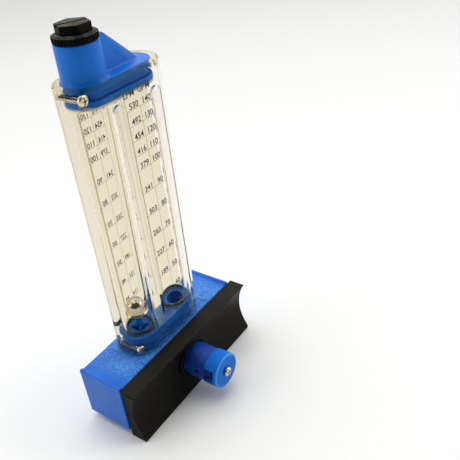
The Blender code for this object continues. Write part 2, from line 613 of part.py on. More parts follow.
def main():
    clear_scene()
    blue = make_material("blue_plastic", (0.02, 0.15, 0.62), 0.35)
    tip_blue = make_material("tip_blue_plastic", (0.05, 0.22, 0.70), 0.35)
    rubber = make_material("black_rubber", (0.012, 0.011, 0.010), 0.7)
    seal_rubber = make_material("seal_rubber", (0.02, 0.02, 0.02), 0.5)
    clear_rubber = make_material("clear_rubber", (0.75, 0.76, 0.74), 0.3)
    pale_rubber = make_material("pale_rubber", (0.35, 0.35, 0.33), 0.5)
    acrylic = make_material("clear_acrylic", (0.93, 0.90, 0.80), 0.05, alpha=0.35)
    steel = make_material("stainless_steel", (0.70, 0.66, 0.58), 0.25, metallic=1.0)
    black = make_material("black_plastic", (0.015, 0.015, 0.014), 0.5)
    make_base_block(blue)
    make_saddle(rubber)
    make_pitot_tube(blue)
    make_pitot_tip(tip_blue)
    tip_screw = make_screw("pitot_tip_screw", steel, TIP_SCREW_LENGTH)
    along_front(tip_screw, PITOT_X, BLOCK_FRONT - TIP_END - GAP, PITOT_Z)
    body = make_body(acrylic)
    make_cross_screws(body, steel)
    make_cap(blue)
    make_vent_plug(black)
    make_float(steel)
    make_stop("float_stop_bottom", blue, BASE_PLUG_TOP + GAP, FLOAT_BRIM_Z - FLOAT_STEM_LENGTH - GAP)
    float_top = FLOAT_BRIM_Z + FLOAT_BALL_UP + FLOAT_BALL_RADIUS
    make_stop("float_stop_top", blue, POCKET_TOP - GAP, float_top + FLOAT_TRAVEL + GAP)
    make_seals(seal_rubber, clear_rubber, pale_rubber)


main()
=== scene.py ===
"""The looks of the saddle-mounted pitot-tube flow meter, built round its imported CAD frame. Metres, +Z up."""

import math

import bmesh
import bpy
from mathutils import Matrix, Vector


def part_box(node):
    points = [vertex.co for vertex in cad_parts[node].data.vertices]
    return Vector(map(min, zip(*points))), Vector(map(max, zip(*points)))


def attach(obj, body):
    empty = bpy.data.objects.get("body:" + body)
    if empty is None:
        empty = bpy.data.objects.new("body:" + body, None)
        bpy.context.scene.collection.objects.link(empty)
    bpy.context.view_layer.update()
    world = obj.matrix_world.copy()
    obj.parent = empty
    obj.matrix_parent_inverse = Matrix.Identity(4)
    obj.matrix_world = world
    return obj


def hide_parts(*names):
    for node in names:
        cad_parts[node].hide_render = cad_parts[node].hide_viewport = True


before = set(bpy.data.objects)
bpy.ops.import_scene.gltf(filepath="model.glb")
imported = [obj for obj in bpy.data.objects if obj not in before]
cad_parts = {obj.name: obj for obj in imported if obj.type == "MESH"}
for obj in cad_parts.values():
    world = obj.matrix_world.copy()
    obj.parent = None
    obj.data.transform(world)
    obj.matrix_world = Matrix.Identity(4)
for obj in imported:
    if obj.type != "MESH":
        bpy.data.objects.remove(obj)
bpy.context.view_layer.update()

# Places read from the CAD frame
BODY_LOW, BODY_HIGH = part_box("meter_body")
BLOCK_LOW, BLOCK_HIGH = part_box("base_block")
SADDLE_LOW, SADDLE_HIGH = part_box("saddle_gasket")
TUBE_LOW, TUBE_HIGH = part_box("pitot_tube")
CAP_LOW, CAP_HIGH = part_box("top_cap")
PLUG_LOW, PLUG_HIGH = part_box("vent_plug")
FLOAT_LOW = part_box("float")[0]

GAP = 0.0003                            # clearance between pieces that touch
MIDDLE = (BODY_LOW + BODY_HIGH) / 2
BODY_RADIUS = (BODY_HIGH.y - BODY_LOW.y) / 2
PITCH = (BODY_HIGH.x - BODY_LOW.x) / 2 - BODY_RADIUS
BORE_X = (MIDDLE.x - PITCH, MIDDLE.x + PITCH)
PITOT_X = (TUBE_LOW.x + TUBE_HIGH.x) / 2
PITOT_Z = (TUBE_LOW.z + TUBE_HIGH.z) / 2
BLOCK_FRONT = BLOCK_LOW.y
BLOCK_TOP = BODY_LOW.z - GAP
TOWER_X = (PLUG_LOW.x + PLUG_HIGH.x) / 2
TOWER_TOP = CAP_HIGH.z
BASE_PLUG_TOP = BLOCK_HIGH.z
QUARTER_TURN = math.pi / 2
HALF_TURN = math.pi

# Block
LIP_RADIUS = 0.0013
LIP_FILLET = 0.0012
LIP_DROP = 0.0003
BLOCK_EDGE = 0.0005
BAND_SEAT_START = 0.0295
BAND_SEAT_SINK = 0.0002

# Plugs, sockets and bores
PLUG_RADIUS = 0.0104
SOCKET_RADIUS = 0.0108
CAP_SEAL_PATH_RADIUS = 0.0097
CAP_SEAL_MINOR = 0.0006
CAP_REBATE_RADIUS = 0.0089
CAP_REBATE_HEIGHT = 0.0013
SCREW_Z = {"base": 0.0384, "cap": 0.181}
LOCK_GROOVE_RADIUS = 0.0076
LOCK_GROOVE_HALF = 0.0018
BORE_RADII = ((0.0078, 0.0087), (0.0091, 0.0091))
BORE_SEAT_RADII = (0.0084, 0.0098)
BORE_SEAL_PATH_RADII = (0.0075, 0.0088)
BORE_SEAL_MINOR = 0.00075
BORE_SEAT_HEIGHT = 0.0020
PORT_RADIUS = 0.0030
PORT_MOUTH_RADII = (0.0030, 0.0056)
PORT_MOUTH_BOTTOM = 0.028
BODY_EDGE = 0.0012
GROOVE_X = (-0.0102, 0.0149)
GROOVE_WIDTH = 0.0070
GROOVE_DEPTH = 0.0018
GROOVE_ENDS = (0.0425, 0.1750)

# Screws
SCREW_X = 0.0236
HEAD_RADIUS = 0.0027
HEAD_HEIGHT = 0.0019
SHANK_RADIUS = 0.0014
SHANK_LENGTH = 0.0135
TIP_SCREW_LENGTH = 0.0095
SCREW_PITCH = 0.0006
RECESS_REACH = 0.0017
RECESS_HALF_WIDTH = 0.00040
HEAD_SINK = 0.0050
HEAD_CLEARANCE_RADIUS = 0.0032

# Saddle gasket
SADDLE_RADIUS = 0.0305
SADDLE_MIDDLE = 0.0185
COLLAR_RADIUS = 0.0122
COLLAR_DEPTH = 0.0078

# Pitot parts, in lengths out from the block's face
TUBE_RADIUS = 0.0097
STEM_RADIUS = 0.0076
STEM_LENGTH = 0.017
NECK_RADIUS = 0.0079
NECK_END = 0.0245
TIP_RADIUS = 0.0102
TIP_START = 0.0211
TIP_END = 0.030
TIP_WALL = 0.0020
TIP_CAVITY_END = 0.0275
WINDOW_OUT = (-0.0010, 0.0064)
WINDOW_UP = (-0.0028, 0.0052)
WINDOW_INNER = 0.0055
STATIC_INLET = 0.0165
STATIC_INLET_RADIUS = 0.0011
IMPACT_RADIUS = 0.0018
STEM_GROOVES = (-0.0143, -0.0050)
STEM_GROOVE_RADIUS = 0.0066
STEM_GROOVE_HALF = 0.0010
NECK_GROOVE = (0.0217, 0.0233)
NECK_GROOVE_RADIUS = 0.0068
PITOT_SEAL_MINOR = 0.0005
PITOT_SEALS = (("pitot_seal_inner", -0.0143, 0.0072), ("pitot_seal_outer", -0.0050, 0.0072),
               ("pitot_tip_seal", 0.0225, 0.00755))     # length out, path radius

# Cap
TOWER_RADII = (0.0101, 0.0099)
TOWER_FLARE = 0.0009
POCKET_RADIUS = 0.0052
POCKET_TOP = 0.184
VENT_HOLE_RADIUS = 0.0025
THREAD_RADIUS = 0.0064
THREAD_BOTTOM = 0.190
VENT_SEAT_RADIUS = 0.0084
VENT_SEAT_DEPTH = 0.0019
CAP_VOXEL = 0.00033

# Vent plug
FLANGE_HEIGHT = 0.0027
FLANGE_RADIUS = 0.0099
KNURL_DEPTH = 0.00045
KNURL_COUNT = 36
HEX_RADIUS = 0.0079
HEX_TURN = math.radians(4)
SLOT_TURN = math.radians(-26)
SLOT_WIDTH = 0.0016
SLOT_DEPTH = 0.0014
PLUG_SHANK_RADIUS = 0.0057
THREAD_PITCH = 0.0015
THREAD_RISE = 0.0005
VENT_SEAL_PATH_RADIUS = 0.0073
VENT_SEAL_MINOR = 0.00075

# Float and stops
FLOAT_BRIM_RADIUS = 0.0065
FLOAT_BALL_RADIUS = 0.0052
FLOAT_BALL_UP = 0.0036
FLOAT_STEM_RADIUS = 0.0022
FLOAT_STEM_LENGTH = 0.0050
POST_RADIUS = 0.0020
FOOT_LENGTH = 0.0096
FOOT_WIDTH = 0.0012
FOOT_HEIGHT = 0.0015

# Printed scale, placed from the body's middle and the mark for 100
SCALE_100_Z = 0.1406
STEP_OVER_100 = 0.0073
STEP_UNDER_100 = 0.0126
LITRES_PER_GALLON = 3.7854
SCALE_LINES_X = (-0.0063, 0.00265, 0.0115)
LINE_WIDTH = 0.00016
DIGIT_SIZE = 0.0041
INK_DEPTH = 0.00002
INK_SPREAD = 0.00007

# Camera
CAMERA_PLACE = Vector((-0.18497, -0.18103, 0.26926))
CAMERA_AZIMUTH = math.radians(-52.95)
CAMERA_ELEVATION = math.radians(33.40)
CAMERA_ROLL = math.radians(-6.105)
CAMERA_LENS = 47.37

# Clear body, whose low indices of refraction keep the inside in place
CLEAR_IOR = 1.07
MILLED_IOR = 1.26
MILLED_BACK_IOR = 1.12
RIM_HEIGHT = 0.0012

# Studio
DARK_SIDE = (-0.66, -0.66, 0.36)         # towards the open front of the light tent
WORLD_STRENGTH = 1.16
LIGHT_AIM = Vector((0, 0, 0.09))
FLOOR_SIZE = 6.0


# ---- shapes

def add_object(name, mesh, sharp=32):
    """Turn a bmesh into an object with its sharp edges marked."""
    bmesh.ops.recalc_face_normals(mesh, faces=mesh.faces)
    data = bpy.data.meshes.new(name)
    mesh.to_mesh(data)
    mesh.free()
    data.shade_smooth()
    data.set_sharp_from_angle(angle=math.radians(sharp))
    thing = bpy.data.objects.new(name, data)
    bpy.context.scene.collection.objects.link(thing)
    return thing


def combine(target, other, operation):
    step = target.modifiers.new(other.name, "BOOLEAN")
    step.object = other
    step.operation = operation
    step.solver = "EXACT"
    other.hide_render = True


def join(target, *others):
    for other in others:
        combine(target, other, "UNION")


def cut(target, *others):
    for other in others:
        combine(target, other, "DIFFERENCE")


def settle(thing, sharp=32, weighted=True):
    """Apply a piece's modifiers, remove its guides, and mark its sharp edges again."""
    guides = {step.object for step in thing.modifiers if step.type == "BOOLEAN"}
    graph = bpy.context.evaluated_depsgraph_get()
    data = bpy.data.meshes.new_from_object(thing.evaluated_get(graph))
    thing.modifiers.clear()
    thing.data = data
    data.name = thing.name
    data.materials.clear()
    data.shade_smooth()
    data.set_sharp_from_angle(angle=math.radians(sharp))
    for guide in guides:
        bpy.data.objects.remove(guide, do_unlink=True)
    if weighted:
        step = thing.modifiers.new("normals", "WEIGHTED_NORMAL")
        step.keep_sharp = True
    return thing


def ring_points(radius, pitch, steps):
    """Points of a circle, or of two half circles a pitch either side of the middle, anticlockwise."""
    half = steps // 2
    points = []
    for side in (1, -1):
        for index in range(half + (1 if pitch else 0)):
            angle = math.pi * (index / half - 0.5)
            points.append((side * (pitch + radius * math.cos(angle)), side * radius * math.sin(angle)))
    return points


def swept(profile, pitch=0.0, steps=96, ring=False):
    """Sweep (radius, height) points around a circle or a two-ended plan, as a capped solid or a closed ring."""
    mesh = bmesh.new()
    rows = []
    for radius, height in profile:
        rows.append([mesh.verts.new((x, y, height)) for x, y in ring_points(radius, pitch, steps)])
    pairs = list(zip(rows, rows[1:]))
    if ring:
        pairs.append((rows[-1], rows[0]))
    for low, high in pairs:
        for index in range(len(low)):
            after = (index + 1) % len(low)
            mesh.faces.new((low[index], low[after], high[after], high[index]))
    if not ring:
        mesh.faces.new(rows[0])
        mesh.faces.new(rows[-1])
    return mesh


def cylinder(radius, low, high, pitch=0.0, steps=96):
    return swept([(radius, low), (radius, high)], pitch, steps)


def round_section(path_radius, minor, height=0.0, sides=16):
    points = []
    for index in range(sides):
        angle = 2 * math.pi * index / sides
        points.append((path_radius + minor * math.cos(angle), height + minor * math.sin(angle)))
    return points


def rounded(corners, steps=5):
    """Round a profile's corners. Each corner is (across, up, rounding radius)."""
    points = []
    for index, (x, y, radius) in enumerate(corners):
        here = Vector((x, y))
        if radius <= 0 or index in (0, len(corners) - 1):
            points.append((x, y))
            continue
        before = Vector(corners[index - 1][:2]) - here
        after = Vector(corners[index + 1][:2]) - here
        reach = min(radius, before.length * 0.49, after.length * 0.49)
        start = here + before.normalized() * reach
        end = here + after.normalized() * reach
        for step in range(steps + 1):
            t = step / steps
            point = start * (1 - t) ** 2 + here * 2 * t * (1 - t) + end * t ** 2
            points.append((point.x, point.y))
    return points


def prism(outline, low, high):
    mesh = bmesh.new()
    base = mesh.faces.new([mesh.verts.new((x, y, low)) for x, y in outline])
    grown = bmesh.ops.extrude_face_region(mesh, geom=[base])
    moved = [item for item in grown["geom"] if isinstance(item, bmesh.types.BMVert)]
    bmesh.ops.translate(mesh, verts=moved, vec=(0, 0, high - low))
    return mesh


def box(low, high):
    return prism([(low[0], low[1]), (high[0], low[1]), (high[0], high[1]), (low[0], high[1])], low[2], high[2])


def bevel_sharp(mesh, width, segments=3, angle=30):
    """Round the edges of a mesh that turn by more than an angle."""
    bmesh.ops.recalc_face_normals(mesh, faces=mesh.faces)
    limit = math.radians(angle)
    edges = [edge for edge in mesh.edges if len(edge.link_faces) == 2 and edge.calc_face_angle() > limit]
    bmesh.ops.bevel(mesh, geom=edges, offset=width, segments=segments, affect="EDGES", profile=0.5)
    return mesh


def stand(thing, x, y=None, z=0.0):
    thing.location = (x, MIDDLE.y if y is None else y, z)
    return thing


def along_front(thing, x, y, z):
    """Lay a piece made along Z down along -Y, towards the pipe."""
    thing.rotation_euler = (QUARTER_TURN, 0, 0)
    thing.location = (x, y, z)
    return thing


def along_x(thing, x, y, z, way=1):
    thing.rotation_euler = (0, way * QUARTER_TURN, 0)
    thing.location = (x, y, z)
    return thing


def turned_half(thing):
    """Turn a piece half round the body's upright axis, from the front to the back."""
    x, y, z = thing.location
    thing.location = (2 * MIDDLE.x - x, 2 * MIDDLE.y - y, z)
    thing.rotation_euler.z += HALF_TURN
    return thing


def finish_piece(thing, material, body, nodes=()):
    """Paint a piece, hang it on its CAD body, and let it stand for its CAD nodes."""
    thing.data.materials.clear()
    thing.data.materials.append(material)
    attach(thing, body)
    if nodes:
        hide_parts(*nodes)
    return thing


# ---- materials

class Paint:
    """A node material on a Principled shader, with short calls for the usual nodes."""

    def __init__(self, name, color, roughness, **inputs):
        self.material = bpy.data.materials.new(name)
        self.material.use_nodes = True
        self.nodes = self.material.node_tree.nodes
        self.links = self.material.node_tree.links
        self.shader = self.nodes["Principled BSDF"]
        self.shader.inputs["Base Color"].default_value = (*color, 1.0)
        self.shader.inputs["Roughness"].default_value = roughness
        for key, value in inputs.items():
            self.shader.inputs[key.replace("_", " ")].default_value = value

    def node(self, kind, **values):
        made = self.nodes.new(kind)
        for key, value in values.items():
            if key in made.inputs:
                made.inputs[key].default_value = value
            else:
                setattr(made, key, value)
        return made

    def place(self, scale=(1, 1, 1)):
        """Object coordinates in metres, stretched along each axis."""
        coordinates = self.node("ShaderNodeTexCoord")
        mapping = self.node("ShaderNodeMapping", Scale=scale)
        self.links.new(coordinates.outputs["Object"], mapping.inputs["Vector"])
        return mapping.outputs["Vector"]

    def noise(self, scale, detail=4.0, roughness=0.55, stretch=(1, 1, 1)):
        made = self.node("ShaderNodeTexNoise", Scale=scale, Detail=detail, Roughness=roughness)
        self.links.new(self.place(stretch), made.inputs["Vector"])
        return made.outputs["Fac"]

    def spots(self, scale, randomness=1.0):
        made = self.node("ShaderNodeTexVoronoi", Scale=scale, Randomness=randomness)
        self.links.new(self.place(), made.inputs["Vector"])
        return made.outputs["Distance"]

    def band(self, value, low, high, bottom=0.0, top=1.0):
        """Map a value from low..high to bottom..top, clamped."""
        made = self.node("ShaderNodeMapRange")
        made.inputs["From Min"].default_value = low
        made.inputs["From Max"].default_value = high
        made.inputs["To Min"].default_value = bottom
        made.inputs["To Max"].default_value = top
        self.links.new(value, made.inputs["Value"])
        return made.outputs["Result"]

    def math(self, operation, a, b):
        made = self.node("ShaderNodeMath", operation=operation)
        for value, socket in zip((a, b), made.inputs):
            if isinstance(value, (int, float)):
                socket.default_value = value
            else:
                self.links.new(value, socket)
        return made.outputs["Value"]

    def mix(self, factor, a, b):
        """Mix two colours. Each is a tuple or a socket."""
        made = self.node("ShaderNodeMix", data_type="RGBA")
        self.links.new(factor, made.inputs[0])
        for value, socket in ((a, made.inputs[6]), (b, made.inputs[7])):
            if isinstance(value, tuple):
                socket.default_value = (*value, 1.0)
            else:
                self.links.new(value, socket)
        return made.outputs[2]

    def part(self, vector, axis):
        split = self.node("ShaderNodeSeparateXYZ")
        self.links.new(vector, split.inputs[0])
        return split.outputs[axis]

    def facing(self, axis):
        return self.part(self.node("ShaderNodeNewGeometry").outputs["Normal"], axis)

    def facing_up(self, low=0.75, high=0.98):
        """1 on faces that look up."""
        return self.band(self.facing("Z"), low, high)

    def sides(self, low=0.8, high=0.98):
        """1 on faces that look either way along X."""
        return self.band(self.math("ABSOLUTE", self.facing("X"), 0.0), low, high)

    def along(self, axis):
        """A piece's own coordinate, in metres."""
        return self.part(self.place(), axis)

    def from_axis(self):
        """Distance from a piece's own Z axis, in metres."""
        length = self.node("ShaderNodeVectorMath", operation="LENGTH")
        self.links.new(self.place((1, 1, 0)), length.inputs[0])
        return length.outputs["Value"]

    def set(self, socket, value):
        self.links.new(value, self.shader.inputs[socket])

    def bump(self, value, distance, strength=1.0):
        made = self.node("ShaderNodeBump", Strength=strength, Distance=distance)
        self.links.new(value, made.inputs["Height"])
        self.links.new(made.outputs["Normal"], self.shader.inputs["Normal"])


def block_blue():
    """Blue plastic whose sawn top and ends are mottled with pale specks, and smooth near the lips. The specks on the
    end faces are painted darker as painted shade.
    """
    paint = Paint("block_blue", (0.004, 0.140, 0.640), 0.42, Specular_IOR_Level=0.3)
    fine = paint.noise(850, 4.0, 0.8)
    patches = paint.noise(60, 3.0)
    top = paint.math("MULTIPLY", paint.facing_up(), paint.band(paint.math("ABSOLUTE", paint.along("X"), 0.0),
                                                               0.0460, 0.0400))
    sawn = paint.math("MAXIMUM", top, paint.math("MULTIPLY", paint.sides(), 0.8))
    amount = paint.math("MULTIPLY", sawn, paint.band(patches, 0.30, 0.60, 0.45, 1.0))
    specks = paint.math("MULTIPLY", amount, paint.band(fine, 0.42, 0.62))
    cloud = paint.mix(paint.band(patches, 0.3, 0.7), (0.003, 0.120, 0.590), (0.006, 0.165, 0.700))
    # Speck colour: pale on the top faces, and painted darker on the end faces as painted shade.
    pale_speckling = paint.mix(paint.sides(), (0.140, 0.390, 0.780), (0.055, 0.140, 0.360))
    paint.set("Base Color", paint.mix(specks, cloud, pale_speckling))
    paint.set("Roughness", paint.band(fine, 0.3, 0.7, 0.36, 0.60))
    paint.bump(paint.math("MULTIPLY", fine, sawn), 0.00008, 0.7)
    return paint.material


def cap_blue():
    """Moulded satin blue plastic."""
    paint = Paint("cap_blue", (0.001, 0.130, 0.600), 0.34, Specular_IOR_Level=0.2)
    cloud = paint.noise(60, 3.0)
    grain = paint.noise(2600, 3.0)
    paint.set("Base Color", paint.mix(paint.band(cloud, 0.3, 0.7), (0.001, 0.125, 0.560), (0.002, 0.180, 0.700)))
    paint.set("Roughness", paint.band(cloud, 0.3, 0.7, 0.30, 0.42))
    paint.bump(grain, 0.00001, 0.4)
    return paint.material


def tube_blue():
    """Machined deep blue tube with turning marks and pale scuffs round it, and painted shade darkening it near the
    saddle.
    """
    paint = Paint("tube_blue", (0.003, 0.045, 0.350), 0.42, Specular_IOR_Level=0.35)
    rings = paint.noise(1300, 4.0, 0.6, (0.04, 0.04, 1.0))
    streaks = paint.noise(520, 4.0, 0.65, (0.22, 0.22, 1.0))
    scuffs = paint.band(streaks, 0.55, 0.72)
    base = paint.mix(paint.band(rings, 0.3, 0.7), (0.002, 0.034, 0.280), (0.004, 0.058, 0.420))
    # Painted shade: the tube is darkened towards the block's face, where it goes into the saddle's collar.
    base_with_painted_shade = paint.mix(paint.band(paint.along("Z"), 0.013, 0.004), base, (0.001, 0.012, 0.110))
    paint.set("Base Color", paint.mix(scuffs, base_with_painted_shade, (0.030, 0.150, 0.560)))
    paint.set("Roughness", paint.band(rings, 0.3, 0.7, 0.32, 0.55))
    paint.bump(rings, 0.00004, 0.6)
    return paint.material


def tip_blue():
    """Lighter blue end cap, with a painted highlight along its rim."""
    paint = Paint("tip_blue", (0.002, 0.140, 0.640), 0.38, Specular_IOR_Level=0.1)
    cloud = paint.noise(120, 4.0)
    grain = paint.noise(2200, 3.0)
    base = paint.mix(paint.band(cloud, 0.3, 0.7), (0.001, 0.125, 0.600), (0.003, 0.170, 0.740))
    # Painted highlight: a bright band along the rounded outer edge of the end face.
    rim = paint.math("MULTIPLY", paint.band(paint.along("Z"), TIP_END - 0.0011, TIP_END - 0.0004),
                     paint.band(paint.from_axis(), TIP_RADIUS - 0.0013, TIP_RADIUS - 0.0006))
    paint.set("Base Color", paint.mix(rim, base, (0.060, 0.340, 0.850)))
    paint.set("Roughness", paint.band(grain, 0.3, 0.7, 0.30, 0.45))
    paint.bump(grain, 0.00002, 0.4)
    return paint.material


def saddle_rubber():
    """Matt black rubber with dust specks, and its top faces painted lighter as painted light from above."""
    paint = Paint("saddle_rubber", (0.004, 0.003, 0.002), 0.55, Specular_IOR_Level=0.11)
    cloud = paint.noise(90, 4.0)
    grain = paint.noise(3000, 4.0, 0.7)
    dust = paint.band(paint.spots(330), 0.12, 0.05)
    few = paint.band(paint.noise(170, 2.0), 0.54, 0.60)
    specks = paint.math("MULTIPLY", dust, few)
    base = paint.mix(paint.band(cloud, 0.3, 0.7), (0.003, 0.0028, 0.002), (0.008, 0.007, 0.005))
    # Painted light: the faces that look up are painted lighter, as if lit from above.
    top = paint.mix(paint.facing_up(), base, (0.015, 0.013, 0.010))
    paint.set("Base Color", paint.mix(specks, top, (0.120, 0.110, 0.090)))
    paint.set("Roughness", paint.band(cloud, 0.3, 0.7, 0.46, 0.64))
    paint.bump(grain, 0.00004, 0.5)
    return paint.material


def seal_rubber(name, color, dark):
    paint = Paint(name, color, 0.45)
    cloud = paint.noise(700, 3.0)
    paint.set("Base Color", paint.mix(paint.band(cloud, 0.3, 0.7), dark, color))
    paint.bump(paint.noise(3000, 3.0), 0.00002, 0.4)
    return paint.material


def acrylic(name, tint, roughness, ior=CLEAR_IOR):
    """Clear acrylic with hairline marks, in a tint."""
    paint = Paint(name, tint, roughness, IOR=ior, Transmission_Weight=1.0)
    hairlines = paint.noise(900, 3.0, 0.6, (1.0, 1.0, 0.04))
    paint.set("Roughness", paint.band(hairlines, 0.45, 0.75, 0.0, roughness))
    return paint.material


def steel(name, color, bright, roughness):
    """Bright steel with a warm cast, faint turning marks and small stains."""
    paint = Paint(name, color, roughness, Metallic=1.0)
    cloud = paint.noise(500, 4.0)
    marks = paint.noise(2500, 3.0, 0.6, (0.2, 0.2, 1.0))
    paint.set("Base Color", paint.mix(paint.band(cloud, 0.35, 0.65), color, bright))
    paint.set("Roughness", paint.band(marks, 0.3, 0.7, roughness * 0.7, roughness * 1.5))
    paint.bump(marks, 0.00001, 0.35)
    return paint.material


def plug_black():
    """Black plastic, greyed and speckled on top where it is worn."""
    paint = Paint("plug_black", (0.002, 0.002, 0.001), 0.5, Specular_IOR_Level=0.04)
    speckle = paint.noise(1300, 5.0, 0.8)
    patches = paint.noise(260, 3.0)
    pale_speckling = paint.math("MULTIPLY", paint.facing_up(0.6, 0.95), paint.band(speckle, 0.40, 0.64))
    amount = paint.math("MULTIPLY", pale_speckling, paint.band(patches, 0.30, 0.62, 0.25, 1.0))
    base = paint.mix(paint.band(patches, 0.3, 0.7), (0.002, 0.002, 0.001), (0.006, 0.006, 0.004))
    paint.set("Base Color", paint.mix(amount, base, (0.200, 0.185, 0.125)))
    paint.set("Roughness", paint.band(speckle, 0.3, 0.7, 0.38, 0.65))
    paint.bump(speckle, 0.00006, 0.5)
    return paint.material


def printed_ink(name, color, thin):
    """Scale ink, thinner in places."""
    paint = Paint(name, color, 0.5)
    wear = paint.noise(1600, 4.0, 0.6)
    paint.set("Base Color", paint.mix(paint.band(wear, 0.45, 0.72), color, thin))
    paint.set("Roughness", paint.band(wear, 0.3, 0.7, 0.4, 0.6))
    return paint.material


# ---- block, saddle, cap

def plug_profile(low, high, lock_z, rebate=0.0):
    """Profile of an oval plug with a groove for the cross screws and, if asked for, a rebate at its foot."""
    points = [(PLUG_RADIUS, low)]
    if rebate:
        points = [(CAP_REBATE_RADIUS, low), (CAP_REBATE_RADIUS, low + rebate), (PLUG_RADIUS, low + rebate)]
    points += [(PLUG_RADIUS, lock_z - LOCK_GROOVE_HALF), (LOCK_GROOVE_RADIUS, lock_z - LOCK_GROOVE_HALF)]
    points += [(LOCK_GROOVE_RADIUS, lock_z + LOCK_GROOVE_HALF), (PLUG_RADIUS, lock_z + LOCK_GROOVE_HALF)]
    return points + [(PLUG_RADIUS, high)]


def block_half_outline():
    """Right half of the block's outline, seen from the front, from the bottom up to the middle of the top."""
    half = (BLOCK_HIGH.x - BLOCK_LOW.x) / 2
    floor = BLOCK_TOP - BAND_SEAT_SINK
    lip_x, lip_z = half - LIP_RADIUS, BLOCK_TOP - LIP_DROP
    rise = floor + LIP_FILLET - lip_z
    fillet_x = lip_x - math.sqrt((LIP_RADIUS + LIP_FILLET) ** 2 - rise ** 2)
    meet = math.atan2(rise, fillet_x - lip_x)
    start = -math.acos((LIP_RADIUS - 0.0002) / LIP_RADIUS)
    points = [(half - 0.0002, BLOCK_LOW.z)]
    for index in range(17):
        angle = start + (meet - start) * index / 16
        points.append((lip_x + LIP_RADIUS * math.cos(angle), lip_z + LIP_RADIUS * math.sin(angle)))
    for index in range(1, 9):
        angle = meet - math.pi + (-QUARTER_TURN - meet + math.pi) * index / 8
        points.append((fillet_x + LIP_FILLET * math.cos(angle), floor + LIP_FILLET * (1 + math.sin(angle))))
    return points + [(BAND_SEAT_START, floor), (BAND_SEAT_START - BAND_SEAT_SINK, BLOCK_TOP)]


def make_block(material):
    """Block with a rounded lip along each end's top edge and the plug that holds the clear body."""
    right = block_half_outline()
    outline = right + [(-x, z) for x, z in reversed(right)]
    shell = bevel_sharp(prism(outline, BLOCK_LOW.y - BLOCK_HIGH.y, 0.0), BLOCK_EDGE, 4, 40)
    block = along_front(add_object("block_shell", shell), MIDDLE.x, BLOCK_FRONT, 0.0)
    block.data.transform(block.matrix_basis)
    block.matrix_basis = Matrix.Identity(4)
    profile = plug_profile(BLOCK_TOP - 0.002, BASE_PLUG_TOP, SCREW_Z["base"])
    join(block, stand(add_object("guide_plug", swept(profile, PITCH)), MIDDLE.x))
    socket = add_object("cut_socket", cylinder(STEM_RADIUS + GAP, -0.0195, 0.003))
    cut(block, along_front(socket, PITOT_X, BLOCK_FRONT, PITOT_Z))
    for bore_x, mouth in zip(BORE_X, PORT_MOUTH_RADII):
        profile = [(PORT_RADIUS, PITOT_Z - PORT_RADIUS), (PORT_RADIUS, PORT_MOUTH_BOTTOM)]
        profile += [(mouth, PORT_MOUTH_BOTTOM + 0.0001), (mouth, BASE_PLUG_TOP + 0.002)]
        cut(block, stand(add_object("cut_port", swept(profile, steps=64)), bore_x))
    finish_piece(settle(block), material, "meter", ["base_block"])


def make_saddle(material):
    """Rubber saddle with rounded edges, a collar round the tube and a notch under its top rib's left end."""
    back = SADDLE_HIGH.y
    front = SADDLE_LOW.y
    half_chord = BLOCK_TOP - SADDLE_MIDDLE
    centre_y = front - math.sqrt(SADDLE_RADIUS ** 2 - half_chord ** 2)
    swing = math.asin(half_chord / SADDLE_RADIUS)
    outline = [(back, 0.0), (back, BLOCK_TOP), (front + 0.0003, BLOCK_TOP), (front, BLOCK_TOP - 0.0002)]
    for index in range(1, 56):
        angle = swing * (1 - index / 28)
        outline.append((centre_y + SADDLE_RADIUS * math.cos(angle), SADDLE_MIDDLE + SADDLE_RADIUS * math.sin(angle)))
    outline += [(front, SADDLE_MIDDLE - half_chord), (front, 0.0003), (front + 0.0003, 0.0)]
    outline = [(-z, y) for y, z in outline]
    middle = (SADDLE_LOW.x + SADDLE_HIGH.x) / 2
    half = (SADDLE_HIGH.x - SADDLE_LOW.x) / 2
    bar_mesh = bevel_sharp(prism(outline, -half, half), 0.0003, 3, 50)
    bar = along_x(add_object("saddle_rubber_bar", bar_mesh), middle, 0, 0)
    collar_profile = rounded([(COLLAR_RADIUS + 0.0004, 0.001, 0), (COLLAR_RADIUS, COLLAR_DEPTH, 0.0006),
                              (TUBE_RADIUS, COLLAR_DEPTH, 0)])
    collar = add_object("guide_collar", swept(collar_profile))
    join(bar, along_front(collar, PITOT_X, BLOCK_FRONT, PITOT_Z))
    mouth = rounded([(TUBE_RADIUS + GAP, -0.002, 0), (TUBE_RADIUS + GAP, COLLAR_DEPTH - 0.0006, 0.0004),
                     (TUBE_RADIUS + 0.0012, COLLAR_DEPTH + 0.0003, 0), (TUBE_RADIUS + 0.0012, 0.013, 0)])
    hole = add_object("cut_hole", swept(mouth))
    notch_low = (SADDLE_LOW.x - 0.001, front - 0.001, BLOCK_TOP - 0.0027)
    notch_high = (SADDLE_LOW.x + 0.0008, back - 0.0025, BLOCK_TOP - 0.0018)
    notch = add_object("cut_notch", box(notch_low, notch_high))
    cut(bar, along_front(hole, PITOT_X, BLOCK_FRONT, PITOT_Z), notch)
    finish_piece(settle(bar), material, "meter", ["saddle_gasket"])


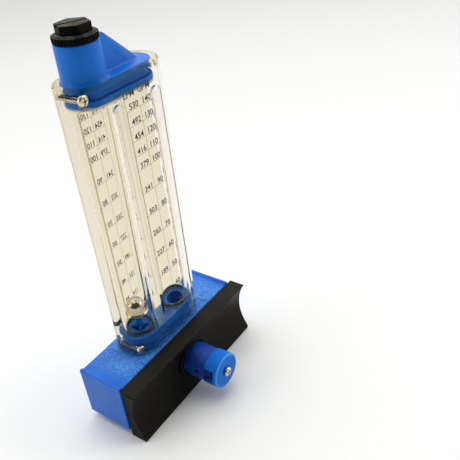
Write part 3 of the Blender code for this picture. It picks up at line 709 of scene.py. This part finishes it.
def make_gusset():
    """Rib with sloping sides that runs from the tower's top down to the far end of the cap."""
    mesh = bmesh.new()
    foot = BODY_HIGH.z - 0.0008
    tower = TOWER_X - MIDDLE.x
    stations = ((tower + 0.004, 0.0046, 0.0012, TOWER_TOP - 0.0004), (0.0010, 0.0040, 0.0010, TOWER_TOP - 0.0004),
                (0.0130, 0.0036, 0.0009, 0.1916), (0.0190, 0.0020, 0.0008, foot + 0.0012))
    for x, foot_half, ridge_half, ridge_z in stations:
        for side in (-1, 1):
            mesh.verts.new((x, side * foot_half, foot))
            mesh.verts.new((x, side * ridge_half, ridge_z))
    bmesh.ops.convex_hull(mesh, input=list(mesh.verts))
    loose = [vert for vert in mesh.verts if not vert.link_faces]
    bmesh.ops.delete(mesh, geom=loose, context="VERTS")
    return stand(add_object("guide_gusset", mesh), MIDDLE.x)


def make_cap(material):
    """Moulded cap: its joins and edges are melted together by a voxel remesh and smoothing."""
    profile = plug_profile(CAP_LOW.z, BODY_HIGH.z, SCREW_Z["cap"], CAP_REBATE_HEIGHT)
    cap = stand(add_object("cap_moulding", swept(profile, PITCH)), MIDDLE.x)
    tower_profile = [(TOWER_RADII[0] + TOWER_FLARE, BODY_HIGH.z - 0.0005)]
    for index in range(7):
        angle = QUARTER_TURN * index / 6
        radius = TOWER_RADII[0] + TOWER_FLARE * (1 - math.sin(angle))
        tower_profile.append((radius, BODY_HIGH.z + 0.0002 + 2 * TOWER_FLARE * (1 - math.cos(angle))))
    tower_profile += [(TOWER_RADII[1], TOWER_TOP - 0.0002), (TOWER_RADII[1] - 0.0002, TOWER_TOP)]
    join(cap, stand(add_object("guide_tower", swept(tower_profile)), TOWER_X), make_gusset())
    pocket = cylinder(POCKET_RADIUS, CAP_LOW.z - 0.002, POCKET_TOP, PITCH, 48)
    cut(cap, stand(add_object("cut_pocket", pocket), MIDDLE.x))
    bores = ((VENT_HOLE_RADIUS, POCKET_TOP - 0.001, THREAD_BOTTOM + 0.001),
             (THREAD_RADIUS, THREAD_BOTTOM, TOWER_TOP + 0.002),
             (VENT_SEAT_RADIUS, TOWER_TOP - VENT_SEAT_DEPTH, TOWER_TOP + 0.002))
    for radius, low, high in bores:
        cut(cap, stand(add_object("cut_vent", cylinder(radius, low, high, steps=48)), TOWER_X))
    settle(cap, weighted=False)
    melt = cap.modifiers.new("melt", "REMESH")
    melt.mode = "VOXEL"
    melt.voxel_size = CAP_VOXEL
    ease = cap.modifiers.new("ease", "SMOOTH")
    ease.factor = 0.5
    ease.iterations = 9
    settle(cap, sharp=180, weighted=False)
    finish_piece(cap, material, "meter", ["top_cap"])


# ---- clear body and its print

def screw_cutter():
    profile = [(SHANK_RADIUS + GAP, -SHANK_LENGTH - GAP), (SHANK_RADIUS + GAP, -GAP)]
    profile += [(HEAD_CLEARANCE_RADIUS, -GAP), (HEAD_CLEARANCE_RADIUS, 0.020)]
    return add_object("cut_screw", swept(profile, steps=48))


def place_cross_screw(thing, end, side):
    underside = MIDDLE.y - BODY_RADIUS + HEAD_SINK + HEAD_HEIGHT
    along_front(thing, MIDDLE.x - SCREW_X, underside, SCREW_Z[end])
    return turned_half(thing) if side == "back" else thing


def in_groove(face):
    """True for a face of the clear body that is a wall or the floor of one of the four long grooves."""
    depth = BODY_RADIUS - abs(face.center.y)
    if not 0.00001 < depth < GROOVE_DEPTH + 0.0001 or not GROOVE_ENDS[0] < face.center.z < GROOVE_ENDS[1]:
        return False
    across = face.center.x if face.center.y < 0 else -face.center.x
    return any(abs(across - x) < GROOVE_WIDTH / 2 + 0.0001 for x in GROOVE_X)


def acrylic_kind(face):
    """Index of a body face's material: 0 the clear front and sockets, 1 the front grooves, 2 the back and rim,
    3 the bores, 4 the back grooves."""
    if in_groove(face):
        return 1 if face.center.y < 0 else 4
    if face.center.z > BODY_HIGH.z - RIM_HEIGHT:
        return 2
    across = abs(abs(face.center.x) - PITCH)
    reach = math.hypot(across, face.center.y)
    if reach < SOCKET_RADIUS - 0.001 and BASE_PLUG_TOP < face.center.z < CAP_LOW.z - 0.001 and abs(face.normal.z) < 0.5:
        return 3
    return 2 if face.center.y > 0.004 and reach > SOCKET_RADIUS + 0.001 else 0


def make_body(material, *others):
    edge = BODY_EDGE
    profile = rounded([(BODY_RADIUS - 0.003, BODY_LOW.z, 0), (BODY_RADIUS, BODY_LOW.z, edge / 2),
                       (BODY_RADIUS, BODY_HIGH.z, edge), (BODY_RADIUS - 0.003, BODY_HIGH.z, 0)], 6)
    body = stand(add_object("acrylic_body", swept(profile, PITCH, 128)), MIDDLE.x)
    roof = BASE_PLUG_TOP + GAP
    floor = CAP_LOW.z - GAP
    for low, high in ((BODY_LOW.z - 0.002, roof), (floor, BODY_HIGH.z + 0.002)):
        cut(body, stand(add_object("cut_socket", cylinder(SOCKET_RADIUS, low, high, PITCH)), MIDDLE.x))
    for bore_x, (bottom, top), seat_radius in zip(BORE_X, BORE_RADII, BORE_SEAT_RADII):
        bore = add_object("cut_bore", swept([(bottom, roof - 0.001), (top, floor + 0.001)]))
        seat = add_object("cut_seat", cylinder(seat_radius, roof - 0.0005, roof + BORE_SEAT_HEIGHT))
        cut(body, stand(bore, bore_x), stand(seat, bore_x))
    half = (GROOVE_ENDS[1] - GROOVE_ENDS[0] - GROOVE_WIDTH) / 2
    for groove_x in GROOVE_X:
        for turned in (False, True):
            wall = GROOVE_WIDTH / 2
            section = [(wall - 0.0005, -GROOVE_DEPTH), (wall - 0.00015, -GROOVE_DEPTH + 0.00015),
                       (wall, -GROOVE_DEPTH + 0.0005), (wall, 0.003)]
            groove = add_object("cut_groove", swept(section, half, 48))
            along_front(groove, MIDDLE.x + groove_x, BODY_LOW.y, sum(GROOVE_ENDS) / 2)
            groove.rotation_euler = (QUARTER_TURN, QUARTER_TURN, 0)
            if turned:
                turned_half(groove)
            cut(body, groove)
    for end in ("cap", "base"):
        for side in ("front", "back"):
            cut(body, place_cross_screw(screw_cutter(), end, side))
    finish_piece(settle(body, sharp=24), material, "meter", ["meter_body"])
    for other in others:
        body.data.materials.append(other)
    for face in body.data.polygons:
        face.material_index = acrylic_kind(face)


def text_mesh(target, words, size, x, z, face_y, turn, align="CENTER"):
    """Add flat raised words to a bmesh, standing on a broad face of the body."""
    curve = bpy.data.curves.new("words", "FONT")
    curve.body = words
    curve.size = size
    curve.extrude = INK_DEPTH
    curve.align_x = align
    curve.offset = INK_SPREAD
    curve.resolution_u = 3
    thing = bpy.data.objects.new("words", curve)
    bpy.context.scene.collection.objects.link(thing)
    graph = bpy.context.evaluated_depsgraph_get()
    data = bpy.data.meshes.new_from_object(thing.evaluated_get(graph))
    data.transform(turn @ Matrix.Translation((x, face_y, z)) @ Matrix.Rotation(QUARTER_TURN, 4, "X"))
    target.from_mesh(data)
    bpy.data.objects.remove(thing, do_unlink=True)
    bpy.data.curves.remove(curve)
    bpy.data.meshes.remove(data)


def line_box(target, low, high, turn):
    """Add a thin raised line to a bmesh."""
    corners = [Vector((x, y, z)) for x in (low[0], high[0]) for y in (low[1], high[1]) for z in (low[2], high[2])]
    verts = [target.verts.new(turn @ corner) for corner in corners]
    for face in ((0, 1, 3, 2), (4, 6, 7, 5), (0, 4, 5, 1), (2, 3, 7, 6), (0, 2, 6, 4), (1, 5, 7, 3)):
        target.faces.new([verts[index] for index in face])


def mark_height(gallons):
    step = STEP_OVER_100 if gallons > 100 else STEP_UNDER_100
    return SCALE_100_Z + (gallons - 100) / 10 * step


def make_print(front_ink, back_ink):
    """Flow scale in litres and gallons a minute, on the front and, turned half round, on the back."""
    face_y = BODY_LOW.y - 2 * INK_DEPTH
    left, middle, right = (MIDDLE.x + x for x in SCALE_LINES_X)
    half_turn = Matrix.Translation((MIDDLE.x, MIDDLE.y, 0)) @ Matrix.Rotation(HALF_TURN, 4, "Z")
    half_turn = half_turn @ Matrix.Translation((-MIDDLE.x, -MIDDLE.y, 0))
    for side, turn, ink in (("front", Matrix.Identity(4), front_ink), ("back", half_turn, back_ink)):
        mesh = bmesh.new()
        for gallons in range(30, 150, 10):
            z = mark_height(gallons)
            litres = str(round(gallons * LITRES_PER_GALLON))
            text_mesh(mesh, litres, DIGIT_SIZE, (left + middle) / 2 + 0.0004, z + 0.0006, face_y, turn)
            text_mesh(mesh, str(gallons), DIGIT_SIZE, (middle + right) / 2, z + 0.0006, face_y, turn)
            line_box(mesh, (left, face_y - INK_DEPTH, z), (right, face_y + INK_DEPTH, z + LINE_WIDTH), turn)
        top = mark_height(140) + 0.0062
        for words, x in (("LPM", (left + middle) / 2 - 0.0016), ("GPM", (middle + right) / 2 - 0.0006)):
            text_mesh(mesh, words, DIGIT_SIZE, x, top, face_y, turn)
        for x in (left, middle, right):
            half = LINE_WIDTH * 0.4
            line_box(mesh, (x - half, face_y - INK_DEPTH, mark_height(30)),
                     (x + half, face_y + INK_DEPTH, mark_height(140)), turn)
        finish_piece(add_object(f"scale_print_{side}", mesh), ink, "meter")


# ---- pitot tube and screws

def make_tube(material):
    corners = [(STEM_RADIUS - 0.0005, -STEM_LENGTH, 0), (STEM_RADIUS, -STEM_LENGTH + 0.0005, 0)]
    for middle in STEM_GROOVES:
        low, high = middle - STEM_GROOVE_HALF, middle + STEM_GROOVE_HALF
        corners += [(STEM_RADIUS, low, 0), (STEM_GROOVE_RADIUS, low, 0)]
        corners += [(STEM_GROOVE_RADIUS, high, 0), (STEM_RADIUS, high, 0)]
    corners += [(STEM_RADIUS, GAP, 0), (TUBE_RADIUS, GAP, 0), (TUBE_RADIUS, TIP_START - GAP, 0.0004)]
    low, high = NECK_GROOVE
    corners += [(NECK_RADIUS, TIP_START - GAP, 0), (NECK_RADIUS, low, 0), (NECK_GROOVE_RADIUS, low, 0)]
    corners += [(NECK_GROOVE_RADIUS, high, 0), (NECK_RADIUS, high, 0), (NECK_RADIUS, NECK_END, 0)]
    tube = add_object("pitot_barrel", swept(rounded(corners, 4)))
    along_front(tube, PITOT_X, BLOCK_FRONT, PITOT_Z)
    port_profile = [(STATIC_INLET_RADIUS, -0.004), (STATIC_INLET_RADIUS, TUBE_RADIUS - 0.0003),
                    (STATIC_INLET_RADIUS + 0.0005, TUBE_RADIUS + 0.0006)]
    port = add_object("cut_port", swept(port_profile, steps=40))
    along_x(port, PITOT_X, BLOCK_FRONT - STATIC_INLET, PITOT_Z + 0.0015, -1)
    impact = add_object("cut_impact", cylinder(IMPACT_RADIUS, 0.014, NECK_END + 0.001, steps=40))
    along_front(impact, PITOT_X - 0.0034, BLOCK_FRONT, PITOT_Z - 0.0015)
    pilot = add_object("cut_pilot", cylinder(SHANK_RADIUS + GAP, NECK_END - 0.007, NECK_END + 0.001, steps=40))
    cut(tube, port, impact, along_front(pilot, PITOT_X, BLOCK_FRONT, PITOT_Z))
    finish_piece(settle(tube), material, "meter", ["pitot_tube"])


def make_tip(material):
    """Turnable cap with a shallow seat for its screw and a square notch."""
    inner = TIP_RADIUS - TIP_WALL
    hole = SHANK_RADIUS + GAP
    corners = [(hole, TIP_END - 0.0002, 0), (HEAD_RADIUS + 0.0006, TIP_END - 0.0002, 0),
               (HEAD_RADIUS + 0.0009, TIP_END, 0), (TIP_RADIUS, TIP_END, 0.0007), (TIP_RADIUS, TIP_START, 0.0003),
               (inner, TIP_START, 0), (inner, TIP_CAVITY_END, 0), (hole, TIP_CAVITY_END, 0)]
    tip = add_object("pitot_end_cap", swept(rounded(corners), ring=True))
    along_front(tip, PITOT_X, BLOCK_FRONT, PITOT_Z)
    out = BLOCK_FRONT - TIP_START
    low = (PITOT_X - TIP_RADIUS - 0.001, out - WINDOW_OUT[1], PITOT_Z + WINDOW_UP[0])
    high = (PITOT_X - WINDOW_INNER, out - WINDOW_OUT[0], PITOT_Z + WINDOW_UP[1])
    window = add_object("cut_window", bevel_sharp(box(low, high), 0.0003))
    cut(tip, window)
    finish_piece(settle(tip), material, "tip", ["pitot_tip"])


def make_screw(name, length):
    """Pan-head screw with a tapered cross recess and a threaded shank. The head points to +Z."""
    profile = [(0.0004, -length), (SHANK_RADIUS * 0.8, -length + 0.0007)]
    for index in range(int((length - 0.002) / SCREW_PITCH)):
        z = -length + 0.0009 + index * SCREW_PITCH
        profile += [(SHANK_RADIUS * 0.82, z), (SHANK_RADIUS, z + SCREW_PITCH / 2)]
    profile += [(SHANK_RADIUS * 0.9, -0.0006), (SHANK_RADIUS * 0.9, 0.0)]
    profile += rounded([(SHANK_RADIUS, 0.0, 0), (HEAD_RADIUS, 0.0, 0.0002), (HEAD_RADIUS, HEAD_HEIGHT * 0.45, 0)])[1:]
    for index in range(1, 9):
        turn = QUARTER_TURN * index / 9
        profile.append((HEAD_RADIUS * math.cos(turn) ** 0.6, HEAD_HEIGHT * (0.45 + 0.43 * math.sin(turn))))
    screw = add_object(name, swept(profile, steps=48))
    arm, width = RECESS_REACH, RECESS_HALF_WIDTH
    recess_mesh = bmesh.new()
    rows = []
    for depth, scale in ((HEAD_HEIGHT * 0.15, 0.35), (HEAD_HEIGHT * 0.55, 0.8), (HEAD_HEIGHT * 1.2, 1.15)):
        row = []
        for quarter in range(4):
            turn = quarter * QUARTER_TURN
            for x, y in ((width, width), (width, arm * scale), (-width, arm * scale)):
                across = x * math.cos(turn) - y * math.sin(turn)
                row.append(recess_mesh.verts.new((across, x * math.sin(turn) + y * math.cos(turn), depth)))
        rows.append(row)
    for low, high in zip(rows, rows[1:]):
        for index in range(len(low)):
            after = (index + 1) % len(low)
            recess_mesh.faces.new((low[index], low[after], high[after], high[index]))
    recess_mesh.faces.new(rows[0])
    recess_mesh.faces.new(rows[-1])
    cut(screw, add_object("cut_recess", recess_mesh))
    return settle(screw)


def make_screws(material):
    for end in ("cap", "base"):
        for side in ("front", "back"):
            screw = place_cross_screw(make_screw(f"screw_{end}_{side}", SHANK_LENGTH), end, side)
            finish_piece(screw, material, "meter", [f"{end}_screw_{side}"])
    tip_screw = make_screw("screw_tip", TIP_SCREW_LENGTH)
    tip_screw.rotation_euler = (QUARTER_TURN, math.radians(20), 0)
    tip_screw.location = (PITOT_X, BLOCK_FRONT - TIP_END - GAP, PITOT_Z)
    finish_piece(tip_screw, material, "meter", ["pitot_tip_screw"])


# ---- vent plug, float, seals

def helix_thread(radius, rise, pitch, low, high, steps=40):
    """Closed helical ridge round Z."""
    mesh = bmesh.new()
    count = int((high - low) / pitch * steps)
    rows = []
    for index in range(count + 1):
        angle = 2 * math.pi * index / steps
        z = low + pitch * index / steps
        fade = min(1.0, index / steps * 2, (count - index) / steps * 2)
        section = ((radius - 0.0003, -0.35), (radius + rise * fade, -0.06), (radius + rise * fade, 0.06),
                   (radius - 0.0003, 0.35))
        row = []
        for reach, share in section:
            row.append(mesh.verts.new((reach * math.cos(angle), reach * math.sin(angle), z + share * pitch)))
        rows.append(row)
    for low_row, high_row in zip(rows, rows[1:]):
        for index in range(4):
            after = (index + 1) % 4
            mesh.faces.new((low_row[index], low_row[after], high_row[after], high_row[index]))
    mesh.faces.new(rows[0])
    mesh.faces.new(rows[-1])
    return mesh


def make_vent_plug(material):
    low = TOWER_TOP + GAP
    top = PLUG_HIGH.z
    outline = []
    for index in range(8 * KNURL_COUNT):
        angle = math.pi * index / (4 * KNURL_COUNT)
        wave = 0.5 - 0.5 * math.cos(angle * KNURL_COUNT)
        radius = FLANGE_RADIUS - KNURL_DEPTH * wave ** 2
        outline.append((radius * math.cos(angle), radius * math.sin(angle)))
    plug = add_object("vent_plug_head", bevel_sharp(prism(outline, low, low + FLANGE_HEIGHT), 0.00025, 2, 60))
    boss_profile = rounded([(0.0078, low + 0.001, 0), (0.0092, low + FLANGE_HEIGHT - 0.0001, 0),
                            (0.0086, low + FLANGE_HEIGHT + 0.0005, 0.0004), (0.004, low + FLANGE_HEIGHT + 0.0005, 0)])
    boss = add_object("guide_boss", swept(boss_profile))
    hexagon = [(HEX_RADIUS * math.cos(HEX_TURN + side * math.pi / 3),
                HEX_RADIUS * math.sin(HEX_TURN + side * math.pi / 3)) for side in range(6)]
    head = add_object("guide_hexagon", bevel_sharp(prism(hexagon, low + FLANGE_HEIGHT / 2, top), 0.0003))
    bottom = PLUG_LOW.z
    shank_profile = [(PLUG_SHANK_RADIUS - 0.0008, bottom), (PLUG_SHANK_RADIUS, bottom + 0.0008),
                     (PLUG_SHANK_RADIUS, low + 0.001)]
    shank = add_object("guide_shank", swept(shank_profile))
    slot = add_object("cut_slot", box((-0.01, -SLOT_WIDTH / 2, top - SLOT_DEPTH), (0.01, SLOT_WIDTH / 2, top + 0.001)))
    slot.rotation_euler.z = SLOT_TURN
    join(plug, boss, head, shank)
    cut(plug, slot)
    finish_piece(stand(settle(plug), TOWER_X), material, "plug", ["vent_plug"])
    ridge = helix_thread(PLUG_SHANK_RADIUS, THREAD_RISE, THREAD_PITCH, bottom + 0.001, low - 0.0008)
    thread = stand(add_object("vent_plug_thread", ridge), TOWER_X)
    finish_piece(thread, material, "plug", ())


def make_float(material):
    stem = -FLOAT_STEM_LENGTH
    corners = [(FLOAT_STEM_RADIUS * 0.7, stem, 0), (FLOAT_STEM_RADIUS, stem + 0.0006, 0.0003),
               (FLOAT_STEM_RADIUS, -0.0004, 0.0004), (FLOAT_BRIM_RADIUS - 0.0004, 0.0, 0.0004),
               (FLOAT_BRIM_RADIUS, 0.0005, 0.0004), (FLOAT_BRIM_RADIUS - 0.0007, 0.0011, 0.0006),
               (FLOAT_BALL_RADIUS + 0.0005, 0.0020, 0.0008), (FLOAT_BALL_RADIUS, 0.0034, 0)]
    profile = rounded(corners)
    for index in range(1, 24):
        angle = QUARTER_TURN * index / 24
        profile.append((FLOAT_BALL_RADIUS * math.cos(angle), FLOAT_BALL_UP + FLOAT_BALL_RADIUS * math.sin(angle)))
    bell = add_object("float_bell", swept(profile), 60)
    brim_z = FLOAT_LOW.z + FLOAT_STEM_LENGTH
    finish_piece(stand(bell, BORE_X[0], z=brim_z), material, "float_bell", ["float"])


def make_stop(node, material, hanging):
    """Post on a cross-shaped foot."""
    low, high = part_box(node)
    height = high.z - low.z
    profile = rounded([(POST_RADIUS, 0.0, 0), (POST_RADIUS, height, 0.0006), (0.0002, height, 0)])
    stop = add_object(f"{node}_post", swept(profile, steps=64))
    for turn in (math.radians(45), math.radians(135)):
        blade_mesh = box((-FOOT_LENGTH / 2, -FOOT_WIDTH / 2, 0.0), (FOOT_LENGTH / 2, FOOT_WIDTH / 2, FOOT_HEIGHT))
        blade = add_object("guide_blade", bevel_sharp(blade_mesh, 0.0002, 2))
        blade.rotation_euler.z = turn
        join(stop, blade)
    settle(stop)
    if hanging:
        stop.rotation_euler.x = HALF_TURN
    stand(stop, BORE_X[0], z=high.z if hanging else low.z)
    finish_piece(stop, material, "meter", [node])


def make_ring(name, node, material, section, body, pitch=0.0):
    ring = add_object(name, swept(section, pitch, ring=True), 60)
    low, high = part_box(node)
    stand(ring, (low.x + high.x) / 2)
    return finish_piece(ring, material, body, [node])


def make_seals(black, clear, pale):
    section = round_section(CAP_SEAL_PATH_RADIUS, CAP_SEAL_MINOR, CAP_LOW.z + CAP_SEAL_MINOR)
    make_ring("cap_seal_ring", "cap_seal", clear, section, "meter", PITCH)
    seat_middle = BASE_PLUG_TOP + GAP + BORE_SEAT_HEIGHT / 2
    for node, path_radius in zip(("bore_seal_left", "bore_seal_right"), BORE_SEAL_PATH_RADII):
        section = round_section(path_radius, BORE_SEAL_MINOR, seat_middle)
        make_ring(f"{node}_ring", node, black, section, "meter")
    section = round_section(VENT_SEAL_PATH_RADIUS, VENT_SEAL_MINOR, TOWER_TOP - VENT_SEAL_MINOR)
    make_ring("vent_seal_ring", "vent_plug_seal", pale, section, "plug_carrier")
    for node, out, path_radius in PITOT_SEALS:
        ring = add_object(f"{node}_ring", swept(round_section(path_radius, PITOT_SEAL_MINOR, out), ring=True), 60)
        along_front(ring, PITOT_X, BLOCK_FRONT, PITOT_Z)
        finish_piece(ring, black, "meter", [node])


# ---- stage, lights, camera

def make_floor():
    mesh = bmesh.new()
    bmesh.ops.create_grid(mesh, x_segments=1, y_segments=1, size=FLOOR_SIZE)
    floor = add_object("floor", mesh)
    paint = Paint("floor_paper", (0.90, 0.90, 0.89), 0.75)
    paint.bump(paint.noise(400, 3.0), 0.00005, 0.1)
    floor.data.materials.append(paint.material)


def make_area_light(name, place, size, power, color):
    light = bpy.data.lights.new(name, "AREA")
    light.shape = "RECTANGLE"
    light.size, light.size_y = size
    light.energy = power
    light.color = color
    lamp = bpy.data.objects.new(name, light)
    bpy.context.scene.collection.objects.link(lamp)
    lamp.location = place
    aim = LIGHT_AIM - Vector(place)
    lamp.rotation_euler = aim.to_track_quat("-Z", "Y").to_euler()


def make_world():
    """Bright studio surround that is dark on the camera's side, as in a light tent with an open front."""
    world = bpy.data.worlds.new("studio")
    world.use_nodes = True
    nodes, links = world.node_tree.nodes, world.node_tree.links
    direction = nodes.new("ShaderNodeTexCoord")
    towards = nodes.new("ShaderNodeVectorMath")
    towards.operation = "DOT_PRODUCT"
    towards.inputs[1].default_value = DARK_SIDE
    ramp = nodes.new("ShaderNodeValToRGB")
    ramp.color_ramp.elements[0].position = 0.05
    ramp.color_ramp.elements[0].color = (1.0, 1.0, 1.0, 1.0)
    ramp.color_ramp.elements[1].position = 0.55
    ramp.color_ramp.elements[1].color = (0.05, 0.05, 0.05, 1.0)
    links.new(direction.outputs["Generated"], towards.inputs[0])
    links.new(towards.outputs["Value"], ramp.inputs[0])
    links.new(ramp.outputs["Color"], nodes["Background"].inputs["Color"])
    nodes["Background"].inputs["Strength"].default_value = WORLD_STRENGTH
    bpy.context.scene.world = world


def make_lights():
    make_area_light("key_light", (0.75, -0.80, 0.60), (0.5, 0.5), 3.2, (1.0, 0.985, 0.96))
    make_area_light("side_light", (-0.85, 0.55, 0.55), (0.4, 0.9), 2.2, (0.96, 0.98, 1.0))
    make_area_light("top_light", (0.05, 0.15, 1.15), (0.9, 0.9), 6.0, (1.0, 1.0, 1.0))
    make_world()


def make_camera():
    camera = bpy.data.cameras.new("camera")
    camera.lens = CAMERA_LENS
    camera.sensor_width = 36.0
    camera.clip_start = 0.01
    eye = bpy.data.objects.new("camera", camera)
    bpy.context.scene.collection.objects.link(eye)
    turn = Matrix.Rotation(CAMERA_AZIMUTH, 3, "Z") @ Matrix.Rotation(QUARTER_TURN - CAMERA_ELEVATION, 3, "X")
    turn = turn @ Matrix.Rotation(CAMERA_ROLL, 3, "Z")
    eye.matrix_world = Matrix.Translation(CAMERA_PLACE) @ turn.to_4x4()
    bpy.context.scene.camera = eye


def main():
    bpy.context.scene.view_settings.view_transform = "Standard"
    blue = cap_blue()
    black_seal = seal_rubber("black_seal", (0.012, 0.012, 0.012), (0.006, 0.006, 0.006))
    clear_seal = seal_rubber("clear_seal", (0.80, 0.81, 0.79), (0.68, 0.69, 0.67))
    pale_seal = seal_rubber("pale_seal", (0.20, 0.20, 0.19), (0.12, 0.12, 0.11))
    screw_steel = steel("screw_steel", (0.62, 0.52, 0.38), (0.82, 0.74, 0.60), 0.22)
    float_steel = steel("float_steel", (0.50, 0.45, 0.35), (0.64, 0.59, 0.48), 0.24)
    make_block(block_blue())
    make_saddle(saddle_rubber())
    make_cap(blue)
    make_body(acrylic("clear_acrylic", (0.955, 0.935, 0.880), 0.008),
              acrylic("milled_acrylic", (0.860, 0.820, 0.760), 0.012, MILLED_IOR),
              acrylic("back_acrylic", (0.680, 0.610, 0.420), 0.012),
              acrylic("bore_acrylic", (0.965, 0.955, 0.920), 0.012),
              acrylic("milled_back_acrylic", (0.660, 0.590, 0.420), 0.012, MILLED_BACK_IOR))
    make_print(printed_ink("black_ink", (0.008, 0.007, 0.006), (0.060, 0.052, 0.040)),
               printed_ink("faded_ink", (0.200, 0.180, 0.140), (0.380, 0.350, 0.270)))
    make_tube(tube_blue())
    make_tip(tip_blue())
    make_screws(screw_steel)
    make_vent_plug(plug_black())
    make_float(float_steel)
    make_stop("float_stop_bottom", blue, False)
    make_stop("float_stop_top", blue, True)
    make_seals(black_seal, clear_seal, pale_seal)
    make_floor()
    make_lights()
    make_camera()


main()
